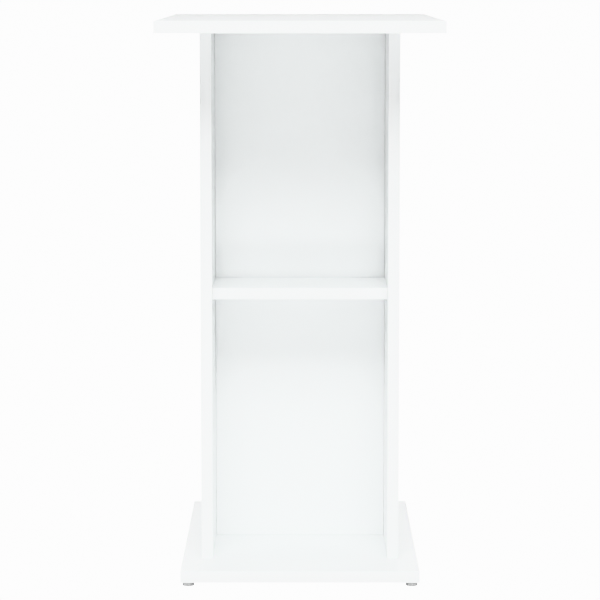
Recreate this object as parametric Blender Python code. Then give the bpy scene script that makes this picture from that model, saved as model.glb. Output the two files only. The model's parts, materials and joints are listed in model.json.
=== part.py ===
"""A white pedestal stand for an aquarium, built from melamine-faced boards.

The origin is on the floor, under the middle of the stand. +Z is up, and the front niches open
towards -Y. All sizes are in metres. Pieces that meet keep GAP between them.
"""

import math
from collections import namedtuple

import bmesh
import bpy
from mathutils import Matrix, Vector

# Driving sizes of the boards.
BOARD = 0.015
GAP = 0.0003
HEIGHT = 0.725
TOP_WIDTH = 0.360
TOP_DEPTH = 0.605
BASE_WIDTH = 0.308
BASE_DEPTH = 0.460
COLUMN_WIDTH = 0.2585
COLUMN_DEPTH = 0.305
SHELF_DEPTH = 0.120
SHELF_TOP = 0.375

# Edge strips, with eased outer corners.
BAND = 0.0008
BAND_EASE = 0.0003

# Push-in glides.
FOOT_HEIGHT = 0.0052
FOOT_RADIUS = 0.0077
FOOT_SOLE_RADIUS = 0.0062
FOOT_INSET = 0.010
STEM_RADIUS = 0.0040
STEM_LENGTH = 0.0090
STEM_TAPER = 0.0010

# Wooden dowels.
DOWEL_RADIUS = 0.0040
DOWEL_CHAMFER = 0.0010
DOWEL_IN_FACE = 0.0095
DOWEL_IN_EDGE = 0.0195
THROUGH_DOWEL_IN_EDGE = 0.0135

# Connector screws: a countersunk head, a smooth shank and a threaded end.
SCREW_HEAD_RADIUS = 0.0048
SCREW_SHANK_RADIUS = 0.0035
SCREW_THREAD_RADIUS = 0.0030
SCREW_LENGTH = 0.0500
SCREW_SUNK = 0.0004
SCREW_HEAD_DEPTH = 0.0030
SCREW_SHANK_END = 0.0125
SCREW_TIP = 0.0030
SOCKET_RADIUS = 0.0023
SOCKET_DEPTH = 0.0026

# Caps over the side panels' screws.
CAP_RADIUS = 0.0065
CAP_RISE = 0.0006
CAP_CROWN = 0.85
CAP_STEM_RADIUS = 0.0015
CAP_STEM_LENGTH = 0.0020

# Cam discs and their bolts.
CAM_RADIUS = 0.0075
CAM_LENGTH = 0.0120
CAM_DROP = 0.0240
CAM_MOUTH = 0.0036
SLOT_ARM = 0.0048
SLOT_WIDTH = 0.0014
SLOT_DEPTH = 0.0020
BOLT_RADIUS = 0.0030
BOLT_NECK_RADIUS = 0.0021
BOLT_IN_TOP = 0.0105
BOLT_HEAD_START = 0.0190
BOLT_HEAD_END = 0.0225
BOLT_CHAMFER = 0.0009

# Where the fasteners sit, from the middle of the stand.
CAM_Y = 0.110
BASE_SCREW_Y = 0.110
CENTRE_FIXING_X = 0.070
CENTRE_SCREW_HEIGHTS = {"upper": 0.600, "lower": 0.130}
SHELF_SCREW_Y = 0.045
SHELF_DOWEL_Y = 0.100
THROUGH_DOWEL_X = 0.060

# Sides on the round pieces. Hidden fasteners need few.
FINE = 32
COARSE = 12
SOFT_EDGE = math.radians(35)

# Sizes worked out from the ones above.
BASE_LOW = FOOT_HEIGHT + GAP
BASE_HIGH = BASE_LOW + BOARD
TOP_LOW = HEIGHT - BOARD
COLUMN_LOW = BASE_HIGH + GAP
COLUMN_HIGH = TOP_LOW - GAP
SIDE_OUTER = COLUMN_WIDTH / 2
SIDE_INNER = SIDE_OUTER - BOARD
SIDE_MIDDLE = SIDE_OUTER - BOARD / 2
SPAN = SIDE_INNER - GAP
SHELF_LOW = SHELF_TOP - BOARD
SHELF_MIDDLE = SHELF_TOP - BOARD / 2
SHELF_BACK = BOARD / 2 + GAP
SHELF_FRONT = SHELF_BACK + SHELF_DEPTH
EDGE_SKIN = BAND + GAP

RIGHT = Vector((1, 0, 0))
LEFT = Vector((-1, 0, 0))
FRONT = Vector((0, -1, 0))
REAR = Vector((0, 1, 0))
UP = Vector((0, 0, 1))
DOWN = Vector((0, 0, -1))
SIDES = {"left": LEFT, "right": RIGHT}
ENDS = {"front": FRONT, "rear": REAR}

# A dowel or a cam bolt has its place at the joint, and points into the face of one board and away
# from the edge of the other. A screw has its place at its head, and points at its tip.
Fixing = namedtuple("Fixing", "name place direction face_board edge_board")


def clear_scene():
    """Remove whatever objects the open file holds."""
    for old in list(bpy.data.objects):
        bpy.data.objects.remove(old, do_unlink=True)


def make_material(name, colour, roughness, metallic=0.0):
    """A Principled BSDF with one colour."""
    material = bpy.data.materials.new(name)
    material.use_nodes = True
    shader = material.node_tree.nodes["Principled BSDF"]
    shader.inputs["Base Color"].default_value = (*colour, 1.0)
    shader.inputs["Roughness"].default_value = roughness
    shader.inputs["Metallic"].default_value = metallic
    material.diffuse_color = (*colour, 1.0)
    return material


def standing_at(place, direction):
    """The transform that turns +Z towards direction and moves the origin to place."""
    turn = direction.to_track_quat("Z", "Y").to_matrix().to_4x4()
    return Matrix.Translation(place) @ turn


def mesh_of(name, shape, material=None, smooth=False):
    """Turn a bmesh into a mesh with its faces pointing out."""
    bmesh.ops.recalc_face_normals(shape, faces=shape.faces)
    mesh = bpy.data.meshes.new(name)
    shape.to_mesh(mesh)
    shape.free()
    if material:
        mesh.materials.append(material)
    if smooth:
        mesh.shade_smooth()
        mesh.set_sharp_from_angle(angle=SOFT_EDGE)
    return mesh


def add_piece(name, mesh, stand, transform=Matrix.Identity(4)):
    """Put a mesh in the scene as a piece of the stand."""
    piece = bpy.data.objects.new(name, mesh)
    bpy.context.collection.objects.link(piece)
    piece.parent = stand
    piece.matrix_basis = transform
    return piece


def cut(targets, name, copies, stand):
    """Subtract placed shapes from some pieces. The shapes don't touch each other."""
    whole = bmesh.new()
    for shape, transform in copies:
        loose = shape.copy()
        loose.transform(transform)
        step = bpy.data.meshes.new("step")
        loose.to_mesh(step)
        loose.free()
        whole.from_mesh(step)
        bpy.data.meshes.remove(step)
    cutter = add_piece(name, mesh_of(name, whole), stand)
    cutter.hide_render = True
    cutter.display_type = "WIRE"
    for target in targets:
        modifier = target.modifiers.new(name, "BOOLEAN")
        modifier.operation = "DIFFERENCE"
        modifier.solver = "EXACT"
        modifier.object = cutter


def circle(radius, height, sides):
    """The corners of a level ring."""
    step = math.tau / sides
    turns = [index * step for index in range(sides)]
    return [(radius * math.cos(turn), radius * math.sin(turn), height) for turn in turns]


def rectangle(width, depth, inset, height):
    """The corners of a level rectangle, drawn in by inset."""
    across = width / 2 - inset
    along = depth / 2 - inset
    return [(across, along, height), (-across, along, height),
            (-across, -along, height), (across, -along, height)]


def join_rings(shape, low, high):
    """Bridge two rings of vertices with quads."""
    for index, corner in enumerate(low):
        after = (index + 1) % len(low)
        shape.faces.new((corner, low[after], high[after], high[index]))


def skin(outlines, closed=False):
    """A surface through a stack of outlines: capped at both ends, or closed on itself."""
    shape = bmesh.new()
    rings = [[shape.verts.new(point) for point in outline] for outline in outlines]
    for low, high in zip(rings, rings[1:]):
        join_rings(shape, low, high)
    if closed:
        join_rings(shape, rings[-1], rings[0])
    else:
        shape.faces.new(rings[0])
        shape.faces.new(rings[-1])
    return shape


def turned(profile, sides):
    """A solid of revolution about Z, from (radius, height) points that run from end to end."""
    return skin([circle(radius, height, sides) for radius, height in profile])


def rod(radius, start, end, sides=COARSE):
    """A plain cylinder along Z."""
    return turned([(radius, start), (radius, end)], sides)


def add_board(name, corner, other, material, stand):
    """A plain board between two opposite corners, placed by its middle."""
    size = Vector([abs(a - b) for a, b in zip(corner, other)])
    shape = bmesh.new()
    bmesh.ops.create_cube(shape, size=1.0)
    bmesh.ops.scale(shape, vec=size, verts=shape.verts)
    middle = Matrix.Translation((corner + other) / 2)
    return add_piece(name, mesh_of(name, shape, material), stand, middle)


def add_strip(name, middle, long_way, length, outward, material, stand):
    """An edge strip on a board's narrow face. middle is the middle of the strip's inner face."""
    half = BOARD / 2
    outline = [(-half, 0), (-half, BAND - BAND_EASE), (BAND_EASE - half, BAND),
               (half - BAND_EASE, BAND), (half, BAND - BAND_EASE), (half, 0)]
    ends = [[(across, out, along) for across, out in outline] for along in (-length / 2, length / 2)]
    turn = Matrix((outward.cross(long_way), outward, long_way)).transposed()
    transform = Matrix.Translation(middle) @ turn.to_4x4()
    return add_piece(name, mesh_of(name, skin(ends), material), stand, transform)


def add_band(name, width, depth, low, material, stand):
    """The edging all round a level board, as one band with square corners."""
    profile = [
        (BAND, 0.0),
        (BAND_EASE, 0.0),
        (0.0, BAND_EASE),
        (0.0, BOARD - BAND_EASE),
        (BAND_EASE, BOARD),
        (BAND, BOARD),
    ]
    outlines = [rectangle(width, depth, inset, height) for inset, height in profile]
    mesh = mesh_of(name, skin(outlines, closed=True), material)
    return add_piece(name, mesh, stand, Matrix.Translation(UP * low))


def all_dowels():
    """The plain dowels: three boards under the top, and the ends of both shelves."""
    dowels = []
    for side, outward in SIDES.items():
        panel = f"{side}_side_panel"
        over_side = outward * SIDE_MIDDLE + UP * TOP_LOW
        over_centre = outward * CENTRE_FIXING_X + UP * TOP_LOW
        dowels.append(Fixing(f"{side}_top_dowel", over_side, UP, "top_panel", panel))
        dowels.append(
            Fixing(f"centre_{side}_top_dowel", over_centre, UP, "top_panel", "centre_panel"))
        for end, towards in ENDS.items():
            place = outward * SIDE_INNER + towards * SHELF_DOWEL_Y + UP * SHELF_MIDDLE
            name = f"{end}_{side}_shelf_dowel"
            dowels.append(Fixing(name, place, outward, panel, f"{end}_shelf"))
    return dowels


def side_screws():
    """The screws through the side panels, into the centre panel and the shelves."""
    screws = []
    for side, outward in SIDES.items():
        face = outward * SIDE_OUTER
        panel = f"{side}_side_panel"
        for level, height in CENTRE_SCREW_HEIGHTS.items():
            name = f"{side}_{level}_screw"
            screws.append(Fixing(name, face + UP * height, -outward, panel, "centre_panel"))
        for end, towards in ENDS.items():
            place = face + towards * SHELF_SCREW_Y + UP * SHELF_MIDDLE
            name = f"{end}_{side}_shelf_screw"
            screws.append(Fixing(name, place, -outward, panel, f"{end}_shelf"))
    return screws


def base_screws():
    """The screws up through the base board, into the three uprights."""
    screws = []
    for side, outward in SIDES.items():
        under_centre = outward * CENTRE_FIXING_X + UP * BASE_LOW
        screws.append(
            Fixing(f"centre_{side}_base_screw", under_centre, UP, "bottom_panel", "centre_panel"))
        for end, towards in ENDS.items():
            place = outward * SIDE_MIDDLE + towards * BASE_SCREW_Y + UP * BASE_LOW
            name = f"{end}_{side}_base_screw"
            screws.append(Fixing(name, place, UP, "bottom_panel", f"{side}_side_panel"))
    return screws


def all_cams():
    """The cam bolts in the top board. Their discs sit in the side panels."""
    return [Fixing(f"{end}_{side}_cam", outward * SIDE_MIDDLE + towards * CAM_Y + UP * TOP_LOW,
                   UP, "top_panel", f"{side}_side_panel")
            for side, outward in SIDES.items() for end, towards in ENDS.items()]


def through_dowel_places():
    """The middles of the dowels that pass through the centre panel into both shelves."""
    return {side: outward * THROUGH_DOWEL_X + UP * SHELF_MIDDLE
            for side, outward in SIDES.items()}


def foot_places():
    """Where the glides meet the floor."""
    places = {}
    for end, towards in ENDS.items():
        for side, outward in SIDES.items():
            across = outward * (BASE_WIDTH / 2 - FOOT_INSET)
            along = towards * (BASE_DEPTH / 2 - FOOT_INSET)
            places[f"{end}_{side}_foot"] = across + along
    return places


def inward(cam):
    """The direction from a side panel to the middle of the stand."""
    return LEFT if cam.place.x > 0 else RIGHT


def cam_disc_stand(cam):
    """The transform of a cam disc: +Z runs from its slotted face into the side panel."""
    face = cam.place + inward(cam) * (BOARD / 2) + DOWN * CAM_DROP
    return standing_at(face, -inward(cam))


def dowel_shape(in_face, in_edge):
    """A dowel along Z, with its origin at the joint."""
    slim = DOWEL_RADIUS - DOWEL_CHAMFER
    profile = [
        (slim, -in_edge),
        (DOWEL_RADIUS, DOWEL_CHAMFER - in_edge),
        (DOWEL_RADIUS, in_face - DOWEL_CHAMFER),
        (slim, in_face),
    ]
    return turned(profile, COARSE)


def screw_shape():
    """A connector screw along +Z, with a hexagonal socket in its head."""
    profile = [
        (SCREW_HEAD_RADIUS, SCREW_SUNK),
        (SCREW_SHANK_RADIUS, SCREW_HEAD_DEPTH),
        (SCREW_SHANK_RADIUS, SCREW_SHANK_END),
        (SCREW_THREAD_RADIUS, SCREW_SHANK_END + GAP),
        (SCREW_THREAD_RADIUS, SCREW_LENGTH - SCREW_TIP),
        (SCREW_THREAD_RADIUS / 3, SCREW_LENGTH),
    ]
    shape = turned(profile, COARSE)
    shape.faces.ensure_lookup_table()
    head = min(shape.faces, key=lambda face: face.calc_center_median().z)
    shape.faces.remove(head)
    shape.verts.ensure_lookup_table()
    sink_socket(shape, shape.verts[:COARSE])
    return shape


def sink_socket(shape, rim):
    """Close a ring of twice six vertices with a face that has a hexagonal recess."""
    floor_height = SCREW_SUNK + SOCKET_DEPTH
    mouth = [shape.verts.new(point) for point in circle(SOCKET_RADIUS, SCREW_SUNK, 6)]
    floor = [shape.verts.new(point) for point in circle(SOCKET_RADIUS, floor_height, 6)]
    for index, corner in enumerate(mouth):
        start, middle, end = (rim[(2 * index + step) % len(rim)] for step in range(3))
        shape.faces.new((start, middle, corner))
        shape.faces.new((middle, end, mouth[(index + 1) % 6], corner))
    join_rings(shape, mouth, floor)
    shape.faces.new(floor)


def cam_bolt_shape():
    """A cam bolt, with its origin at the joint and its thread along +Z."""
    profile = [
        (BOLT_NECK_RADIUS, BOLT_IN_TOP),
        (BOLT_RADIUS, BOLT_IN_TOP - BOLT_CHAMFER),
        (BOLT_RADIUS, 0.0),
        (BOLT_NECK_RADIUS, -BOLT_CHAMFER),
        (BOLT_NECK_RADIUS, BOLT_CHAMFER - BOLT_HEAD_START),
        (BOLT_RADIUS, -BOLT_HEAD_START),
        (BOLT_RADIUS, BOLT_CHAMFER - BOLT_HEAD_END),
        (BOLT_NECK_RADIUS, -BOLT_HEAD_END),
    ]
    return turned(profile, COARSE)


def slot_shape():
    """A plus-shaped prism that sinks a cross slot in a cam disc's face."""
    half = SLOT_WIDTH / 2
    outline = []
    for quarter in range(4):
        spin = Matrix.Rotation(quarter * math.pi / 2, 2)
        corners = ((SLOT_ARM, -half), (SLOT_ARM, half), (half, half))
        outline += [spin @ Vector(point) for point in corners]
    return skin([[(x, y, height) for x, y in outline] for height in (0.0, GAP + SLOT_DEPTH)])


def cap_shape():
    """A flat cap, with its origin on the board's face and its stem along -Z."""
    profile = [
        (CAP_STEM_RADIUS, -CAP_STEM_LENGTH),
        (CAP_STEM_RADIUS, GAP),
        (CAP_RADIUS, GAP),
        (CAP_RADIUS, GAP + CAP_RISE / 2),
        (CAP_RADIUS * CAP_CROWN, GAP + CAP_RISE),
    ]
    return turned(profile, COARSE)


def foot_shape():
    """A glide with a flat sole, a rounded rim and the stem that is pushed into the base board."""
    ease = (FOOT_RADIUS - FOOT_SOLE_RADIUS) / 2
    profile = [
        (FOOT_SOLE_RADIUS, 0.0),
        (FOOT_SOLE_RADIUS + ease, ease / 2),
        (FOOT_RADIUS, 2 * ease),
        (FOOT_RADIUS, FOOT_HEIGHT - ease),
        (FOOT_RADIUS - ease / 2, FOOT_HEIGHT),
        (STEM_RADIUS, FOOT_HEIGHT),
        (STEM_RADIUS, FOOT_HEIGHT + STEM_LENGTH - STEM_TAPER),
        (STEM_RADIUS - STEM_TAPER, FOOT_HEIGHT + STEM_LENGTH),
    ]
    return turned(profile, FINE)


def dowel_holes(board_name):
    """One board's share of the dowel holes."""
    in_face = rod(DOWEL_RADIUS + GAP, -GAP, DOWEL_IN_FACE + GAP)
    in_edge = rod(DOWEL_RADIUS + GAP, -GAP, DOWEL_IN_EDGE + GAP)
    holes = []
    for dowel in all_dowels():
        if dowel.face_board == board_name:
            holes.append((in_face, standing_at(dowel.place, dowel.direction)))
        if dowel.edge_board == board_name:
            holes.append((in_edge, standing_at(dowel.place, -dowel.direction)))
    return holes


def screw_holes(board_name):
    """One board's share of the screw holes: countersunk through it, or blind in its edge."""
    profile = [
        (SCREW_HEAD_RADIUS + 2 * GAP, -GAP),
        (SCREW_SHANK_RADIUS + GAP, SCREW_HEAD_DEPTH),
        (SCREW_SHANK_RADIUS + GAP, BOARD + GAP),
    ]
    in_face = turned(profile, COARSE)
    in_edge = rod(SCREW_THREAD_RADIUS + GAP, -GAP, SCREW_LENGTH - BOARD + GAP)
    holes = []
    for screw in side_screws() + base_screws():
        if screw.face_board == board_name:
            holes.append((in_face, standing_at(screw.place, screw.direction)))
        if screw.edge_board == board_name:
            edge = screw.place + screw.direction * BOARD
            holes.append((in_edge, standing_at(edge, screw.direction)))
    return holes


def cam_holes(board_name):
    """One board's share of the cam bolts' holes."""
    in_top = rod(BOLT_RADIUS + GAP, -GAP, BOLT_IN_TOP + GAP)
    in_side = rod(BOLT_RADIUS + 2 * GAP, -GAP, CAM_DROP - CAM_RADIUS / 2)
    holes = []
    for cam in all_cams():
        if cam.face_board == board_name:
            holes.append((in_top, standing_at(cam.place, UP)))
        if cam.edge_board == board_name:
            holes.append((in_side, standing_at(cam.place, DOWN)))
    return holes


def drill(target, extra, stand):
    """Cut a board's holes for its dowels, screws and cam bolts, and any extra ones."""
    name = target.name
    copies = dowel_holes(name) + screw_holes(name) + cam_holes(name) + extra
    cut([target], f"{name}_drilling", copies, stand)


def make_top(materials, stand):
    """The top board and its edge band."""
    half = Vector((TOP_WIDTH / 2 - EDGE_SKIN, TOP_DEPTH / 2 - EDGE_SKIN, 0))
    top = add_board("top_panel", UP * TOP_LOW - half, UP * HEIGHT + half, materials["board"], stand)
    add_band("top_edge_band", TOP_WIDTH, TOP_DEPTH, TOP_LOW, materials["edge"], stand)
    drill(top, [], stand)


def make_base(materials, stand):
    """The base board, its edge band and the holes for the glides."""
    half = Vector((BASE_WIDTH / 2 - EDGE_SKIN, BASE_DEPTH / 2 - EDGE_SKIN, 0))
    low = UP * BASE_LOW - half
    base = add_board("bottom_panel", low, UP * BASE_HIGH + half, materials["board"], stand)
    add_band("bottom_edge_band", BASE_WIDTH, BASE_DEPTH, BASE_LOW, materials["edge"], stand)
    socket = rod(STEM_RADIUS + GAP, 0.0, STEM_LENGTH + 2 * GAP, FINE)
    mouths = [place + UP * FOOT_HEIGHT for place in foot_places().values()]
    drill(base, [(socket, standing_at(mouth, UP)) for mouth in mouths], stand)


def make_side(side, outward, materials, stand):
    """A side panel, its front and rear edge strips and the pockets for its cam discs."""
    reach = COLUMN_DEPTH / 2 - EDGE_SKIN
    low = outward * SIDE_INNER + FRONT * reach + UP * COLUMN_LOW
    high = outward * SIDE_OUTER + REAR * reach + UP * COLUMN_HIGH
    panel = add_board(f"{side}_side_panel", low, high, materials["board"], stand)
    length = COLUMN_HIGH - COLUMN_LOW
    middle = outward * SIDE_MIDDLE + UP * (COLUMN_HIGH + COLUMN_LOW) / 2
    for end, towards in ENDS.items():
        inner_face = middle + towards * (COLUMN_DEPTH / 2 - BAND)
        add_strip(f"{side}_side_{end}_edge_band", inner_face, UP, length, towards,
                  materials["edge"], stand)
    drill(panel, [], stand)
    pocket = rod(CAM_RADIUS + GAP, -GAP, CAM_LENGTH + 2 * GAP, FINE)
    cams = [cam for cam in all_cams() if cam.edge_board == panel.name]
    pockets = [(pocket, cam_disc_stand(cam)) for cam in cams]
    cut([panel], f"{side}_cam_pockets", pockets, stand)


def make_centre(materials, stand):
    """The centre panel, which closes the niches at the back."""
    low = LEFT * SPAN + FRONT * (BOARD / 2) + UP * COLUMN_LOW
    high = RIGHT * SPAN + REAR * (BOARD / 2) + UP * COLUMN_HIGH
    centre = add_board("centre_panel", low, high, materials["board"], stand)
    through = rod(DOWEL_RADIUS + GAP, -BOARD, BOARD)
    places = through_dowel_places().values()
    drill(centre, [(through, standing_at(place, REAR)) for place in places], stand)


def make_shelf(end, towards, materials, stand):
    """A shelf and the strip on its outer edge."""
    low = LEFT * SPAN + towards * SHELF_BACK + UP * SHELF_LOW
    high = RIGHT * SPAN + towards * (SHELF_FRONT - EDGE_SKIN) + UP * SHELF_TOP
    shelf = add_board(f"{end}_shelf", low, high, materials["board"], stand)
    inner_face = towards * (SHELF_FRONT - BAND) + UP * SHELF_MIDDLE
    add_strip(f"{end}_shelf_edge_band", inner_face, RIGHT, 2 * SPAN, towards,
              materials["edge"], stand)
    hole = rod(DOWEL_RADIUS + GAP, 0.0, THROUGH_DOWEL_IN_EDGE + 2 * GAP)
    mouths = [place + towards * (BOARD / 2) for place in through_dowel_places().values()]
    drill(shelf, [(hole, standing_at(mouth, towards)) for mouth in mouths], stand)


def make_dowels(materials, stand):
    """All the wooden dowels."""
    plain = mesh_of("dowel", dowel_shape(DOWEL_IN_FACE, DOWEL_IN_EDGE), materials["dowel"], True)
    for dowel in all_dowels():
        add_piece(dowel.name, plain, stand, standing_at(dowel.place, dowel.direction))
    half = BOARD / 2 + THROUGH_DOWEL_IN_EDGE
    through = mesh_of("through_dowel", dowel_shape(half, half), materials["dowel"], True)
    for side, place in through_dowel_places().items():
        add_piece(f"{side}_through_dowel", through, stand, standing_at(place, REAR))


def make_screws(materials, stand):
    """The connector screws, and the caps over those that show on the side panels."""
    screw_mesh = mesh_of("connector_screw", screw_shape(), materials["steel"], True)
    for screw in side_screws() + base_screws():
        add_piece(screw.name, screw_mesh, stand, standing_at(screw.place, screw.direction))
    cap_mesh = mesh_of("screw_cap", cap_shape(), materials["edge"], True)
    for screw in side_screws():
        add_piece(f"{screw.name}_cap", cap_mesh, stand, standing_at(screw.place, -screw.direction))


def make_cams(materials, stand):
    """The cam bolts, and the discs that pull them down into the side panels."""
    bolt_mesh = mesh_of("cam_bolt", cam_bolt_shape(), materials["steel"], True)
    disc_mesh = mesh_of("cam_disc", rod(CAM_RADIUS, GAP, GAP + CAM_LENGTH, FINE),
                        materials["zinc"], True)
    discs = []
    slots = []
    mouths = []
    mouth = rod(CAM_MOUTH, -CAM_RADIUS / 10, CAM_RADIUS + GAP)
    for cam in all_cams():
        add_piece(f"{cam.name}_bolt", bolt_mesh, stand, standing_at(cam.place, UP))
        discs.append(add_piece(f"{cam.name}_disc", disc_mesh, stand, cam_disc_stand(cam)))
        slots.append((slot_shape(), cam_disc_stand(cam)))
        mouths.append((mouth, standing_at(cam.place + DOWN * CAM_DROP, UP)))
    cut(discs, "cam_disc_slots", slots, stand)
    cut(discs, "cam_disc_mouths", mouths, stand)


def make_feet(materials, stand):
    """The four glides."""
    foot_mesh = mesh_of("glide", foot_shape(), materials["glide"], True)
    for name, place in foot_places().items():
        add_piece(name, foot_mesh, stand, Matrix.Translation(place))


def make_materials():
    """One material for each kind of stock."""
    return {
        "board": make_material("white_melamine", (0.86, 0.87, 0.87), 0.38),
        "edge": make_material("white_edge_plastic", (0.86, 0.86, 0.86), 0.42),
        "dowel": make_material("beech", (0.66, 0.48, 0.30), 0.65),
        "steel": make_material("zinc_plated_steel", (0.72, 0.72, 0.70), 0.32, 1.0),
        "zinc": make_material("die_cast_zinc", (0.58, 0.58, 0.60), 0.45, 1.0),
        "glide": make_material("grey_glide_plastic", (0.55, 0.56, 0.56), 0.40),
    }


def main():
    """Build the stand under one empty at its origin."""
    clear_scene()
    stand = bpy.data.objects.new("stand", None)
    bpy.context.collection.objects.link(stand)
    materials = make_materials()
    make_top(materials, stand)
    make_base(materials, stand)
    for side, outward in SIDES.items():
        make_side(side, outward, materials, stand)
    make_centre(materials, stand)
    for end, towards in ENDS.items():
        make_shelf(end, towards, materials, stand)
    make_dowels(materials, stand)
    make_screws(materials, stand)
    make_cams(materials, stand)
    make_feet(materials, stand)


main()
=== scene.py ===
"""Finished surfaces, studio and camera for a white pedestal stand for an aquarium.

The boards get their edge strips closed up to a hairline, and every fitting is remade with its real
roundings, threads and recesses. Everything is in metres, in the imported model's frame.
"""

import json
import math
from collections import namedtuple

import bmesh
import bpy
from mathutils import Matrix, Vector

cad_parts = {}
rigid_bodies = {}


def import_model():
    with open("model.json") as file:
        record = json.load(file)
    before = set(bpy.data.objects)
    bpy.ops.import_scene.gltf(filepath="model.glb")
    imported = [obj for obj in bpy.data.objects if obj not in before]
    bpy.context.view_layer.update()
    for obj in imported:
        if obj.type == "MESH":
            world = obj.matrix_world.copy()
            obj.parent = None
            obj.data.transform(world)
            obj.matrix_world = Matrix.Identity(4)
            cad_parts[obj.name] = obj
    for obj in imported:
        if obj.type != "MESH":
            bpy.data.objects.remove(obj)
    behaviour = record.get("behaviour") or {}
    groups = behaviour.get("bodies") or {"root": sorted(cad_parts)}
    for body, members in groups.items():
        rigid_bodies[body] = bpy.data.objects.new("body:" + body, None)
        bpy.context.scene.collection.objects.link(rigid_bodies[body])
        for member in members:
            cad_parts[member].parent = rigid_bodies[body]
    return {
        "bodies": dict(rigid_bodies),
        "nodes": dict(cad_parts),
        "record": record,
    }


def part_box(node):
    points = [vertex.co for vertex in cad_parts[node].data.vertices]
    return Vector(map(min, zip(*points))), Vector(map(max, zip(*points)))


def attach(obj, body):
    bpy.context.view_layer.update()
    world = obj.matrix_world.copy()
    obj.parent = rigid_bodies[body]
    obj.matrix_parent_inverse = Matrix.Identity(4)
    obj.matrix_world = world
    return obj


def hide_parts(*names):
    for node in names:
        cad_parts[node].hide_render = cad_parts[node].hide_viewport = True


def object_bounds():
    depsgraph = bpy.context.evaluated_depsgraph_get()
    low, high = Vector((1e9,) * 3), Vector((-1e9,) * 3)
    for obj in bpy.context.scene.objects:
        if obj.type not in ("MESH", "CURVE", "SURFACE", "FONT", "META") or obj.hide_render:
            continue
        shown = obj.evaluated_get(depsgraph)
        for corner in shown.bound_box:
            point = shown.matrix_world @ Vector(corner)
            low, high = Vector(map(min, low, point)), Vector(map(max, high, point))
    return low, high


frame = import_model()
cad_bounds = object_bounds()

BODY = next(iter(frame["bodies"]))
NODES = frame["nodes"]

RIGHT = Vector((1, 0, 0))
LEFT = Vector((-1, 0, 0))
FRONT = Vector((0, -1, 0))
REAR = Vector((0, 1, 0))
UP = Vector((0, 0, 1))
DOWN = Vector((0, 0, -1))
SIDES = {"left": LEFT, "right": RIGHT}
ENDS = {"front": FRONT, "rear": REAR}

# The joint between boards, the strips' rounded corners, and how near counts as the same place.
HAIRLINE = 0.00003
STRIP_ROUND = 0.00045
STRIP_ROUND_STEPS = 5
NEAR = 0.00002

# Edges sharper than this, in degrees, stay hard.
SHARP = 35
BOARD_SHARP = 20

# Sides on the round pieces.
FINE = 96
PLAIN = 48

# Threads: rings for each turn, and how narrow the ridge is in its pitch.
THREAD_RINGS = 8
THREAD_RIDGE = 1.7

# Where each kind of fitting starts, along its own axis from its own origin in part.py.
SCREW_START = 0.0004
CAP_START = -0.0020
BOLT_START = -0.0225
DISC_START = 0.0003
DOWEL_START = -0.0195
THROUGH_DOWEL_START = -0.0210

# Connector screw: socket, head, shank and thread.
SOCKET_RADIUS = 0.0023
SOCKET_DEPTH = 0.0026
SHANK_RADIUS = 0.0035
SHANK_END = 0.0125
SCREW_ROOT = 0.0024
SCREW_CREST = 0.0031
SCREW_PITCH = 0.0030
SCREW_END = 0.0500

# Cam bolt and cam disc.
BOLT_ROOT = 0.0023
BOLT_CREST = 0.0030
BOLT_PITCH = 0.0020
NECK_RADIUS = 0.0021
DISC_RADIUS = 0.0075
DISC_LENGTH = 0.0120
SLOT_ARM = 0.0048
SLOT_CORNER = math.radians(7.5)
SLOT_DEPTH = 0.0020
SLOT_TAPER = 0.9
MOUTH_RADIUS = 0.0036
MOUTH_BEHIND_FACE = 0.0075

# Glide: its top is a hairline under the base board, and its stem has three barbs.
GLIDE_TOP = 0.00547
GLIDE_BARBS = (0.0066, 0.0088, 0.0110)

# Dowels.
DOWEL_RADIUS = 0.0040
DOWEL_CHAMFER = 0.0010
DOWEL_END = 0.0095
FLUTES = 16
FLUTE_DEPTH = 0.00025

# The camera: a long lens on the stand's long axis, above the top board and tipped down.
CAMERA_DISTANCE = 3.564
CAMERA_HEIGHT = 0.782
CAMERA_TIP = math.radians(7.015)
CAMERA_LENS = 158.9
CAMERA_SENSOR = 36.0

# The studio: the light from all round, and how bright the floor and the backdrop look.
SKY_LIGHT = 0.2
WHITE_OUT = 3.5
FLOOR_REACH = 30.0
FLOOR_TONE = 0.8
FLOOR_ROUGHNESS = 0.8
FLOOR_GAP = 0.0002

# Soft light from the front, high and low, with weaker light on the sides and the back. Each softbox
# faces its target. Its width and height are in metres, and its power is in watts.
Softbox = namedtuple("Softbox", "name place target width height power")
SOFTBOXES = [
    Softbox("front_low", (0.0, -4.2, 0.2), (0.0, 0.0, 0.20), 1.6, 0.3, 20.0),
    Softbox("front_floor", (0.0, -0.9, 0.06), (0.0, 0.0, 0.10), 1.2, 0.1, 1.5),
    Softbox("front_high", (0.0, -2.0, 2.2), (0.0, -0.1, 0.20), 1.6, 0.8, 41.0),
    Softbox("front_top", (0.0, -1.25, 2.4), (0.0, -0.1, 0.20), 1.6, 0.8, 24.0),
    Softbox("left_side", (-2.6, 0.2, 0.9), (0.0, 0.0, 0.35), 1.6, 1.0, 20.0),
    Softbox("right_side", (2.6, 0.2, 0.9), (0.0, 0.0, 0.35), 1.6, 1.0, 20.0),
    Softbox("rear_level", (0.0, 4.2, 0.6), (0.0, 0.0, 0.35), 1.6, 0.8, 21.0),
    Softbox("rear_high", (0.0, 1.6, 2.2), (0.0, 0.1, 0.20), 1.6, 0.8, 10.0),
]

# Noise lies mostly between these two values.
NOISE_LOW = 0.3
NOISE_HIGH = 0.7


# ---------------------------------------------------------------- outlines and solids


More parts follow.
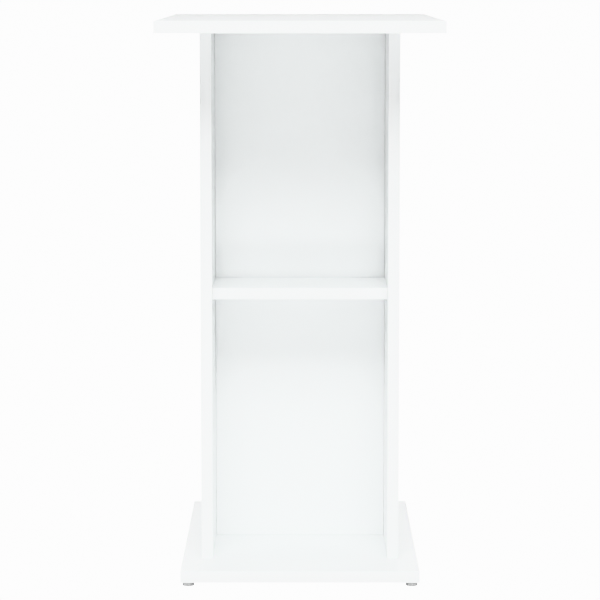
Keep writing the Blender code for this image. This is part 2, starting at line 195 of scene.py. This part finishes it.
def filleted(corners, steps):
    """An open outline with rounded corners. Each corner is (x, y, radius of its rounding)."""
    outline = []
    for index, (x, y, radius) in enumerate(corners):
        here = Vector((x, y))
        if radius == 0:
            outline.append(here)
            continue
        before = (Vector(corners[index - 1][:2]) - here).normalized()
        after = (Vector(corners[index + 1][:2]) - here).normalized()
        half = before.angle(after) / 2
        centre = here + (before + after).normalized() * (radius / math.sin(half))
        start = here + before * (radius / math.tan(half)) - centre
        end = here + after * (radius / math.tan(half)) - centre
        turn = -start.angle_signed(end)
        for step in range(steps + 1):
            outline.append(centre + Matrix.Rotation(turn * step / steps, 2) @ start)
    return outline


def circle(radius, height, sides):
    """The corners of a level ring. radius is a number, or a function of the angle."""
    points = []
    for index in range(sides):
        turn = math.tau * index / sides
        reach = radius(turn) if callable(radius) else radius
        points.append((reach * math.cos(turn), reach * math.sin(turn), height))
    return points


def join_rings(shape, low, high):
    """Bridge two rings of vertices with quads."""
    for index, corner in enumerate(low):
        after = (index + 1) % len(low)
        shape.faces.new((corner, low[after], high[after], high[index]))


def skin(outlines):
    """A closed surface through a stack of outlines, capped at both ends."""
    shape = bmesh.new()
    rings = [[shape.verts.new(point) for point in outline] for outline in outlines]
    for low, high in zip(rings, rings[1:]):
        join_rings(shape, low, high)
    shape.faces.new(rings[0])
    shape.faces.new(rings[-1])
    return shape


def rings_of(profile, sides):
    """Level rings from (radius, height) points. A radius may be a function of the angle."""
    return [circle(radius, height, sides) for radius, height in profile]


def turned(profile, sides):
    """A solid about Z, from (radius, height) points that run from end to end."""
    return skin(rings_of(profile, sides))


def joined(copies):
    """One bmesh of several placed shapes, which stay separate bodies."""
    whole = bmesh.new()
    for shape, transform in copies:
        shape.transform(transform)
        step = bpy.data.meshes.new("step")
        shape.to_mesh(step)
        shape.free()
        whole.from_mesh(step)
        bpy.data.meshes.remove(step)
    return whole


def standing_at(place, direction):
    """The transform that turns +Z towards direction and moves the origin to place."""
    turn = direction.to_track_quat("Z", "Y").to_matrix().to_4x4()
    return Matrix.Translation(place) @ turn


def mesh_of(name, shape, sharp=SHARP):
    """A mesh from a bmesh, which is used up: faces pointing out, smooth except across real edges."""
    bmesh.ops.recalc_face_normals(shape, faces=shape.faces)
    mesh = bpy.data.meshes.new(name)
    shape.to_mesh(mesh)
    shape.free()
    stale = mesh.attributes.get("custom_normal")
    if stale:
        mesh.attributes.remove(stale)
    mesh.shade_smooth()
    mesh.set_sharp_from_angle(angle=math.radians(sharp))
    return mesh


def add_piece(name, mesh, look, nodes, transform=Matrix.Identity(4)):
    """Put a finished piece in the scene, in place of the CAD nodes that it stands for."""
    piece = bpy.data.objects.new(name, mesh)
    bpy.context.collection.objects.link(piece)
    piece.matrix_basis = transform
    if not mesh.materials:
        mesh.materials.append(look)
    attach(piece, BODY)
    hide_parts(*nodes)


# ---------------------------------------------------------------- surface looks


def add_node(tree, kind, **sockets):
    """A shader node with some of its inputs set. Underscores in a name stand for spaces."""
    node = tree.nodes.new(kind)
    for socket, value in sockets.items():
        node.inputs[socket.replace("_", " ")].default_value = value
    return node


def start_look(name, metallic=0.0, ior=1.5):
    """A material with its node tree, its shader and object coordinates in metres."""
    look = bpy.data.materials.new(name)
    look.use_nodes = True
    tree = look.node_tree
    shader = tree.nodes["Principled BSDF"]
    shader.inputs["Metallic"].default_value = metallic
    shader.inputs["IOR"].default_value = ior
    place = tree.nodes.new("ShaderNodeTexCoord").outputs["Object"]
    return look, tree, shader, place


def noise_of(tree, place, grain, detail=2.0, roughness=0.5):
    """Noise whose bumps are about grain metres across."""
    noise = add_node(tree, "ShaderNodeTexNoise", Scale=1.0 / grain, Detail=detail,
                     Roughness=roughness)
    tree.links.new(place, noise.inputs["Vector"])
    return noise.outputs["Fac"]


def stretched(tree, place, scale):
    """Coordinates scaled along each axis, to draw a texture out."""
    mapping = add_node(tree, "ShaderNodeMapping", Scale=scale)
    tree.links.new(place, mapping.inputs["Vector"])
    return mapping.outputs["Vector"]


def colour_between(tree, factor, low, high):
    """A colour that runs from low to high over the noise's usual span."""
    ramp = tree.nodes.new("ShaderNodeValToRGB")
    ramp.color_ramp.elements[0].position = NOISE_LOW
    ramp.color_ramp.elements[0].color = (*low, 1.0)
    ramp.color_ramp.elements[1].position = NOISE_HIGH
    ramp.color_ramp.elements[1].color = (*high, 1.0)
    tree.links.new(factor, ramp.inputs["Fac"])
    return ramp.outputs["Color"]


def value_between(tree, factor, low, high):
    """A number that runs from low to high over the noise's usual span."""
    span = add_node(tree, "ShaderNodeMapRange", From_Min=NOISE_LOW, From_Max=NOISE_HIGH, To_Min=low,
                    To_Max=high)
    tree.links.new(factor, span.inputs["Value"])
    return span.outputs["Result"]


def bumped(tree, height, distance, under=None):
    """A bump of that height in metres, on top of another one if under is given."""
    bump = add_node(tree, "ShaderNodeBump", Strength=1.0, Distance=distance)
    tree.links.new(height, bump.inputs["Height"])
    if under:
        tree.links.new(under, bump.inputs["Normal"])
    return bump.outputs["Normal"]


def melamine_look():
    """Satin white melamine: a fine pressed grain with a faint slow mottle."""
    look, tree, shader, place = start_look("white_melamine")
    mottle = noise_of(tree, place, grain=0.060, detail=4.0)
    colour = colour_between(tree, mottle, (0.936, 0.951, 0.951), (0.946, 0.960, 0.960))
    tree.links.new(colour, shader.inputs["Base Color"])
    sheen = noise_of(tree, place, grain=0.018, detail=3.0)
    tree.links.new(value_between(tree, sheen, 0.34, 0.42), shader.inputs["Roughness"])
    pressed = bumped(tree, noise_of(tree, place, grain=0.0005), distance=0.000004)
    pores = noise_of(tree, place, grain=0.0020, detail=3.0)
    relief = bumped(tree, pores, distance=0.000010, under=pressed)
    tree.links.new(relief, shader.inputs["Normal"])
    return look


def edge_look():
    """White edge strip: smoother than the boards, with a very fine stipple."""
    look, tree, shader, place = start_look("white_edge_strip")
    tone = noise_of(tree, place, grain=0.030, detail=3.0)
    colour = colour_between(tree, tone, (0.936, 0.948, 0.947), (0.944, 0.956, 0.955))
    tree.links.new(colour, shader.inputs["Base Color"])
    tree.links.new(value_between(tree, tone, 0.30, 0.38), shader.inputs["Roughness"])
    stipple = noise_of(tree, place, grain=0.0004)
    tree.links.new(bumped(tree, stipple, distance=0.000002), shader.inputs["Normal"])
    return look


def glide_look():
    """Grey moulded plastic, a little scuffed."""
    look, tree, shader, place = start_look("grey_glide_plastic", ior=1.49)
    tone = noise_of(tree, place, grain=0.004, detail=4.0)
    colour = colour_between(tree, tone, (0.45, 0.455, 0.455), (0.52, 0.525, 0.525))
    tree.links.new(colour, shader.inputs["Base Color"])
    scuff = noise_of(tree, place, grain=0.0012, detail=4.0)
    tree.links.new(value_between(tree, scuff, 0.52, 0.68), shader.inputs["Roughness"])
    tree.links.new(bumped(tree, scuff, distance=0.000020), shader.inputs["Normal"])
    return look


def beech_look():
    """Beech with its grain along the dowel's own Z axis."""
    look, tree, shader, place = start_look("beech")
    drawn = stretched(tree, place, (1.0, 1.0, 0.08))
    grain = noise_of(tree, drawn, grain=0.0009, detail=5.0, roughness=0.6)
    colour = colour_between(tree, grain, (0.48, 0.31, 0.18), (0.72, 0.53, 0.34))
    tree.links.new(colour, shader.inputs["Base Color"])
    tree.links.new(value_between(tree, grain, 0.70, 0.55), shader.inputs["Roughness"])
    tree.links.new(bumped(tree, grain, distance=0.000060), shader.inputs["Normal"])
    return look


def metal_look(name, low, high, grain, depth, rough):
    """Bare or plated metal: tone, roughness and bump from the same fine grain."""
    look, tree, shader, place = start_look(name, metallic=1.0)
    cast = noise_of(tree, place, grain, detail=4.0, roughness=0.6)
    tree.links.new(colour_between(tree, cast, low, high), shader.inputs["Base Color"])
    tree.links.new(value_between(tree, cast, rough, rough + 0.12), shader.inputs["Roughness"])
    tree.links.new(bumped(tree, cast, depth), shader.inputs["Normal"])
    return look


LOOKS = {
    "board": melamine_look(),
    "edge": edge_look(),
    "glide": glide_look(),
    "dowel": beech_look(),
    "steel": metal_look("zinc_plated_steel", (0.60, 0.60, 0.57), (0.76, 0.76, 0.73),
                        grain=0.0012, depth=0.00001, rough=0.26),
    "zinc": metal_look("die_cast_zinc", (0.50, 0.50, 0.52), (0.62, 0.62, 0.64),
                       grain=0.0007, depth=0.00003, rough=0.38),
}


def dress_nodes():
    """Give every CAD node the finished look of its material slot."""
    for entry in frame["record"]["subparts"]:
        mesh = NODES[entry["node"]].data
        mesh.materials.clear()
        mesh.materials.append(LOOKS[entry["material_slot"]])


# ---------------------------------------------------------------- boards and edge strips


def corners_of(node):
    """A node's lowest and highest corners."""
    low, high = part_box(node)
    return Vector(low), Vector(high)


def closed_board(node, name, limits):
    """A copy of a board that reaches to a hairline from its neighbours.

    Each limit is a direction, and how far along it the neighbour's face is.
    """
    shape = bmesh.new()
    shape.from_mesh(NODES[node].data)
    bmesh.ops.remove_doubles(shape, verts=shape.verts, dist=NEAR)
    low, high = corners_of(node)
    for direction, limit in limits:
        reach = max(low.dot(direction), high.dot(direction))
        side = [vert for vert in shape.verts if vert.co.dot(direction) > reach - NEAR]
        step = direction * (limit - HAIRLINE - reach)
        bmesh.ops.translate(shape, vec=step, verts=side)
    add_piece(name, mesh_of(name, shape, BOARD_SHARP), LOOKS["board"], [node])


def near_face(node, direction):
    """How far along direction a node's nearer face is."""
    low, high = corners_of(node)
    return min(low.dot(direction), high.dot(direction))


def strip_inner_face(node, direction):
    """How far out a strip's inner face is: its outer face less the thickness of the stock."""
    low, high = corners_of(node)
    return max(low.dot(direction), high.dot(direction)) - strip_thickness()


def strip_thickness():
    """The edge stock's thickness, as the front shelf's strip has it."""
    low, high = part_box("front_shelf_edge_band")
    return high[1] - low[1]


def strip_shape(length, height):
    """A strip along Z, its inner face at y = 0 and its outer corners rounded."""
    half = height / 2
    thick = strip_thickness()
    corners = [
        (-half, 0.0, 0.0),
        (-half, thick, STRIP_ROUND),
        (half, thick, STRIP_ROUND),
        (half, 0.0, 0.0),
    ]
    outline = filleted(corners, STRIP_ROUND_STEPS)
    return skin([[(x, y, z) for x, y in outline] for z in (-length / 2, length / 2)])


def strip_at(inner_middle, outward, long_way):
    """The transform of a strip: its thickness points outward, and it runs along long_way."""
    across = outward.cross(long_way)
    turn = Matrix((across, outward, long_way)).transposed().to_4x4()
    return Matrix.Translation(inner_middle) @ turn


def level_strips(node, name):
    """Four strips round a level board: the ends run full width, the others butt up to them."""
    low, high = corners_of(node)
    middle = (low + high) / 2
    size = high - low
    thick = strip_thickness()
    copies = []
    for towards in ENDS.values():
        place = middle + towards * (size.y / 2 - thick)
        copies.append((strip_shape(size.x, size.z), strip_at(place, towards, RIGHT)))
    for outward in SIDES.values():
        place = middle + outward * (size.x / 2 - thick)
        length = size.y - 2 * (thick + HAIRLINE)
        copies.append((strip_shape(length, size.z), strip_at(place, outward, REAR)))
    add_piece(name, mesh_of(name, joined(copies)), LOOKS["edge"], [node])


def single_strip(node, name, outward, long_way, length):
    """One strip of that length, in the middle of its CAD node."""
    low, high = corners_of(node)
    height = abs((high - low).dot(outward.cross(long_way)))
    place = (low + high) / 2 - outward * (strip_thickness() / 2)
    shape = strip_shape(length, height)
    shape.transform(strip_at(place, outward, long_way))
    add_piece(name, mesh_of(name, shape), LOOKS["edge"], [node])


def make_boards():
    """The seven boards with all their strips. The centre panel has no strip and stays as it is."""
    for level in ("top", "bottom"):
        band = f"{level}_edge_band"
        limits = [(way, strip_inner_face(band, way)) for way in (FRONT, REAR, LEFT, RIGHT)]
        closed_board(f"{level}_panel", f"{level}_board", limits)
        level_strips(band, f"{level}_edge_strips")
    above = near_face("top_panel", UP)
    below = near_face("bottom_panel", DOWN)
    length = above + below - 2 * HAIRLINE
    for side in SIDES:
        limits = [(UP, above), (DOWN, below)]
        for end, towards in ENDS.items():
            band = f"{side}_side_{end}_edge_band"
            limits.append((towards, strip_inner_face(band, towards)))
            single_strip(band, f"{side}_side_{end}_edge_strip", towards, UP, length)
        closed_board(f"{side}_side_panel", f"{side}_side_board", limits)
    beside = near_face("right_side_panel", RIGHT)
    length = 2 * (beside - HAIRLINE)
    for end, towards in ENDS.items():
        band = f"{end}_shelf_edge_band"
        limits = [(towards, strip_inner_face(band, towards)), (LEFT, beside), (RIGHT, beside)]
        closed_board(f"{end}_shelf", f"{end}_shelf_board", limits)
        single_strip(band, f"{end}_shelf_edge_strip", towards, RIGHT, length)


# ---------------------------------------------------------------- fittings


def hexagon(corner):
    """The radius of a hexagon as a function of the angle."""
    def reach(turn):
        return corner * math.cos(math.pi / 6) / math.cos(turn % (math.pi / 3) - math.pi / 6)
    return reach


def cross(arm):
    """The radius of a cross-shaped slot as a function of the angle."""
    half = arm * math.tan(SLOT_CORNER)

    def bar(along, across):
        return min(arm / max(abs(along), NEAR), half / max(abs(across), NEAR))

    def reach(turn):
        along, across = math.cos(turn), math.sin(turn)
        return max(bar(along, across), bar(across, along))
    return reach


def fluted(turn):
    """The radius of a dowel with shallow grooves along it, as a function of the angle."""
    return DOWEL_RADIUS - FLUTE_DEPTH * (0.5 - 0.5 * math.cos(FLUTES * turn)) ** 2


def thread_rings(start, end, root, crest, pitch):
    """The rings of a screw thread along Z, which fades out at both ends."""
    rings = []
    count = round(abs(end - start) / pitch * THREAD_RINGS)
    for index in range(count + 1):
        height = start + (end - start) * index / count
        fade = min(1.0, abs(height - start) / pitch, abs(end - height) / pitch)

        def reach(turn):
            phase = (height / pitch - turn / math.tau) % 1.0
            rise = max(0.0, 1.0 - THREAD_RIDGE * abs(2.0 * phase - 1.0))
            return root + (crest - root) * fade * rise

        rings.append(circle(reach, height, PLAIN))
    return rings


def screw_shape():
    """A connector screw along +Z: a countersunk head with a hexagonal socket, and its thread."""
    head = [
        (hexagon(SOCKET_RADIUS), SCREW_START + SOCKET_DEPTH),
        (hexagon(SOCKET_RADIUS), SCREW_START + 0.00020),
        (hexagon(SOCKET_RADIUS + 0.00015), SCREW_START + 0.00005),
        (hexagon(SOCKET_RADIUS + 0.00030), SCREW_START),
        (0.00400, SCREW_START),
        (0.00440, SCREW_START + 0.00003),
        (0.00462, SCREW_START + 0.00014),
        (0.00470, SCREW_START + 0.00035),
        (0.00466, SCREW_START + 0.00055),
        (SHANK_RADIUS + 0.00015, 0.00275),
        (SHANK_RADIUS, 0.00330),
        (SHANK_RADIUS, SHANK_END - 0.00020),
        (SHANK_RADIUS - 0.00020, SHANK_END),
    ]
    tip = [(SCREW_ROOT, SCREW_END - 0.0025), (0.0016, SCREW_END - 0.0006), (0.0009, SCREW_END)]
    thread = thread_rings(SHANK_END + 0.0003, SCREW_END - 0.0030, SCREW_ROOT, SCREW_CREST,
                          SCREW_PITCH)
    return skin(rings_of(head, PLAIN) + thread + rings_of(tip, PLAIN))


def bolt_shape():
    """A cam bolt: its thread is along +Z, and its head hangs down into the cam disc."""
    tip = [(0.0014, 0.0105), (0.0021, 0.0101)]
    thread = thread_rings(0.0098, 0.0014, BOLT_ROOT, BOLT_CREST, BOLT_PITCH)
    body = [
        (0.00225, 0.00120),
        (0.00285, 0.00105),
        (0.00300, 0.00085),
        (0.00300, 0.00015),
        (0.00285, -0.00005),
        (NECK_RADIUS, -0.00060),
        (NECK_RADIUS, -0.01800),
        (0.00255, -0.01860),
        (0.00290, -0.01890),
        (0.00300, -0.01930),
        (0.00300, -0.02150),
        (0.00285, -0.02200),
        (0.00245, -0.02235),
        (0.00180, BOLT_START),
    ]
    return skin(rings_of(tip, PLAIN) + thread + rings_of(body, PLAIN))


def disc_shape():
    """A cam disc along +Z, with a cross slot sunk in the face that shows."""
    far = DISC_START + DISC_LENGTH
    profile = [
        (cross(SLOT_ARM * SLOT_TAPER), DISC_START + SLOT_DEPTH),
        (cross(SLOT_ARM), DISC_START + 0.00025),
        (cross(SLOT_ARM + 0.00015), DISC_START + 0.00005),
        (0.00580, DISC_START),
        (0.00600, DISC_START + 0.00015),
        (0.00640, DISC_START + 0.00015),
        (0.00660, DISC_START),
        (0.00700, DISC_START),
        (0.00735, DISC_START + 0.00012),
        (DISC_RADIUS, DISC_START + 0.00045),
        (DISC_RADIUS, far - 0.00045),
        (0.00735, far - 0.00012),
        (0.00700, far),
        (0.00300, far),
    ]
    return turned(profile, FINE)


def dowel_shape(start, end):
    """A fluted dowel along Z with chamfered ends."""
    slim = DOWEL_RADIUS - DOWEL_CHAMFER
    profile = [
        (slim - 0.0002, start),
        (slim, start + 0.0001),
        (fluted, start + DOWEL_CHAMFER),
        (fluted, end - DOWEL_CHAMFER),
        (slim, end - 0.0001),
        (slim - 0.0002, end),
    ]
    return turned(profile, FINE)


def cap_shape():
    """A screw cap: a shallow dome with a rounded rim, its ribbed stem along -Z."""
    profile = [
        (0.00100, CAP_START),
        (0.00135, -0.00180),
        (0.00150, -0.00140),
        (0.00138, -0.00110),
        (0.00150, -0.00070),
        (0.00138, -0.00040),
        (0.00150, 0.00010),
        (0.00560, 0.00018),
        (0.00590, HAIRLINE),
        (0.00630, HAIRLINE),
        (0.00646, 0.00012),
        (0.00650, 0.00028),
        (0.00645, 0.00048),
        (0.00628, 0.00064),
        (0.00595, 0.00073),
        (0.00450, 0.00082),
        (0.00250, 0.00088),
        (0.00080, 0.00090),
    ]
    return turned(profile, FINE)


def glide_shape():
    """A push-in glide: a dished sole, a rounded rim and a barbed stem."""
    profile = [
        (0.0006, 0.00070),
        (0.0038, 0.00070),
        (0.0043, 0.00055),
        (0.0046, 0.00010),
        (0.0049, 0.00000),
        (0.0068, 0.00000),
        (0.0072, 0.00008),
        (0.0075, 0.00028),
        (0.0077, 0.00065),
        (0.0077, 0.00500),
        (0.0076, 0.00530),
        (0.0074, GLIDE_TOP),
        (0.0042, GLIDE_TOP),
        (0.0037, 0.00590),
    ]
    for barb in GLIDE_BARBS:
        profile += [(0.0035, barb), (0.0040, barb + 0.0012), (0.0039, barb + 0.0015)]
    profile += [(0.0034, 0.0128), (0.0028, 0.0139), (0.0018, 0.0142)]
    return turned(profile, FINE)


def cut_from(mesh, cutter):
    """The mesh with another one taken out of it."""
    solid = bpy.data.objects.new("solid", mesh)
    hole = bpy.data.objects.new("hole", cutter)
    for item in (solid, hole):
        bpy.context.collection.objects.link(item)
    modifier = solid.modifiers.new("cut", "BOOLEAN")
    modifier.solver = "EXACT"
    modifier.object = hole
    finished = solid.evaluated_get(bpy.context.evaluated_depsgraph_get())
    result = bpy.data.meshes.new_from_object(finished)
    result.name = mesh.name
    for item in (solid, hole):
        bpy.data.objects.remove(item)
    return result


def disc_mesh():
    """The cam disc with the mouth in its rim that takes the bolt's head. Local +Y is up."""
    mouth = turned([(MOUTH_RADIUS, 0.0), (MOUTH_RADIUS, 2 * DISC_RADIUS)], PLAIN)
    mouth.transform(standing_at(UP * MOUTH_BEHIND_FACE, REAR))
    return cut_from(mesh_of("cam_disc", disc_shape()), mesh_of("mouth", mouth))


def fit(node, mesh, slot, direction, start):
    """Stand a fitting in for its CAD node. Its mesh starts at that height along direction."""
    low, high = corners_of(node)
    half = abs((high - low).dot(direction)) / 2
    place = (low + high) / 2 - direction * (half + start)
    add_piece(f"finished_{node}", mesh, LOOKS[slot], [node], standing_at(place, direction))


def make_fittings():
    """Every glide, screw, cap, cam and dowel in its finished shape."""
    screw = mesh_of("connector_screw", screw_shape())
    cap = mesh_of("screw_cap", cap_shape())
    bolt = mesh_of("cam_bolt", bolt_shape())
    disc = disc_mesh()
    dowel = mesh_of("dowel", dowel_shape(DOWEL_START, DOWEL_END))
    through = mesh_of("through_dowel", dowel_shape(THROUGH_DOWEL_START, -THROUGH_DOWEL_START))
    glide = mesh_of("glide", glide_shape())
    for side, outward in SIDES.items():
        for name in (f"{side}_upper", f"{side}_lower", f"front_{side}_shelf", f"rear_{side}_shelf"):
            fit(f"{name}_screw", screw, "steel", -outward, SCREW_START)
            fit(f"{name}_screw_cap", cap, "edge", outward, CAP_START)
        for name in (f"front_{side}", f"rear_{side}", f"centre_{side}"):
            fit(f"{name}_base_screw", screw, "steel", UP, SCREW_START)
        for name in (f"{side}_top", f"centre_{side}_top"):
            fit(f"{name}_dowel", dowel, "dowel", UP, DOWEL_START)
        fit(f"{side}_through_dowel", through, "dowel", REAR, THROUGH_DOWEL_START)
        for end in ENDS:
            fit(f"{end}_{side}_shelf_dowel", dowel, "dowel", outward, DOWEL_START)
            fit(f"{end}_{side}_cam_bolt", bolt, "steel", UP, BOLT_START)
            fit(f"{end}_{side}_cam_disc", disc, "zinc", outward, DISC_START)
            fit(f"{end}_{side}_foot", glide, "glide", UP, 0.0)


# ---------------------------------------------------------------- studio


def add_floor(name, drop, glow):
    """A wide level plane that far under the stand, plain and matt, which may shine by itself."""
    shape = bmesh.new()
    bmesh.ops.create_grid(shape, x_segments=1, y_segments=1, size=FLOOR_REACH)
    floor = bpy.data.objects.new(name, mesh_of(name, shape))
    bpy.context.collection.objects.link(floor)
    floor.location = UP * (cad_bounds[0].z - drop)
    look = bpy.data.materials.new(name)
    look.use_nodes = True
    look.cycles.emission_sampling = "NONE"
    shader = look.node_tree.nodes["Principled BSDF"]
    shader.inputs["Base Color"].default_value = (FLOOR_TONE, FLOOR_TONE, FLOOR_TONE, 1.0)
    shader.inputs["Roughness"].default_value = FLOOR_ROUGHNESS
    shader.inputs["Emission Color"].default_value = (1.0, 1.0, 1.0, 1.0)
    shader.inputs["Emission Strength"].default_value = glow
    floor.data.materials.append(look)
    return floor


def make_floor():
    """A plain floor in two layers: one sends light back up, the other is the white that shows."""
    bounce = add_floor("pale_floor", FLOOR_GAP, 0.0)
    bounce.visible_camera = False
    seen = add_floor("white_floor", 2 * FLOOR_GAP, WHITE_OUT)
    seen.visible_diffuse = False
    seen.visible_glossy = False
    seen.visible_shadow = False


def make_sky():
    """Even white light from all round, which the camera sees as pure white."""
    world = bpy.data.worlds.new("studio")
    world.use_nodes = True
    tree = world.node_tree
    background = tree.nodes["Background"]
    background.inputs["Color"].default_value = (1.0, 1.0, 1.0, 1.0)
    seen = tree.nodes.new("ShaderNodeLightPath").outputs["Is Camera Ray"]
    strength = add_node(tree, "ShaderNodeMapRange", To_Min=SKY_LIGHT, To_Max=WHITE_OUT)
    tree.links.new(seen, strength.inputs["Value"])
    tree.links.new(strength.outputs["Result"], background.inputs["Strength"])
    bpy.context.scene.world = world


def add_light(box):
    """A softbox as an area light that faces its target and stays out of the picture."""
    data = bpy.data.lights.new(box.name, "AREA")
    data.shape = "RECTANGLE"
    data.size = box.width
    data.size_y = box.height
    data.energy = box.power
    light = bpy.data.objects.new(box.name, data)
    light.location = box.place
    towards = Vector(box.target) - Vector(box.place)
    light.rotation_euler = towards.to_track_quat("-Z", "Y").to_euler()
    light.visible_camera = False
    bpy.context.collection.objects.link(light)


def make_camera():
    """The camera in front of the stand, on its long axis."""
    data = bpy.data.cameras.new("camera")
    data.lens = CAMERA_LENS
    data.sensor_width = CAMERA_SENSOR
    camera = bpy.data.objects.new("camera", data)
    camera.location = (0.0, -CAMERA_DISTANCE, CAMERA_HEIGHT)
    camera.rotation_euler = (math.pi / 2 - CAMERA_TIP, 0.0, 0.0)
    bpy.context.collection.objects.link(camera)
    bpy.context.scene.camera = camera


make_camera()
dress_nodes()
make_boards()
make_fittings()
make_floor()
make_sky()
for box in SOFTBOXES:
    add_light(box)
bpy.context.scene.view_settings.view_transform = "Khronos PBR Neutral"
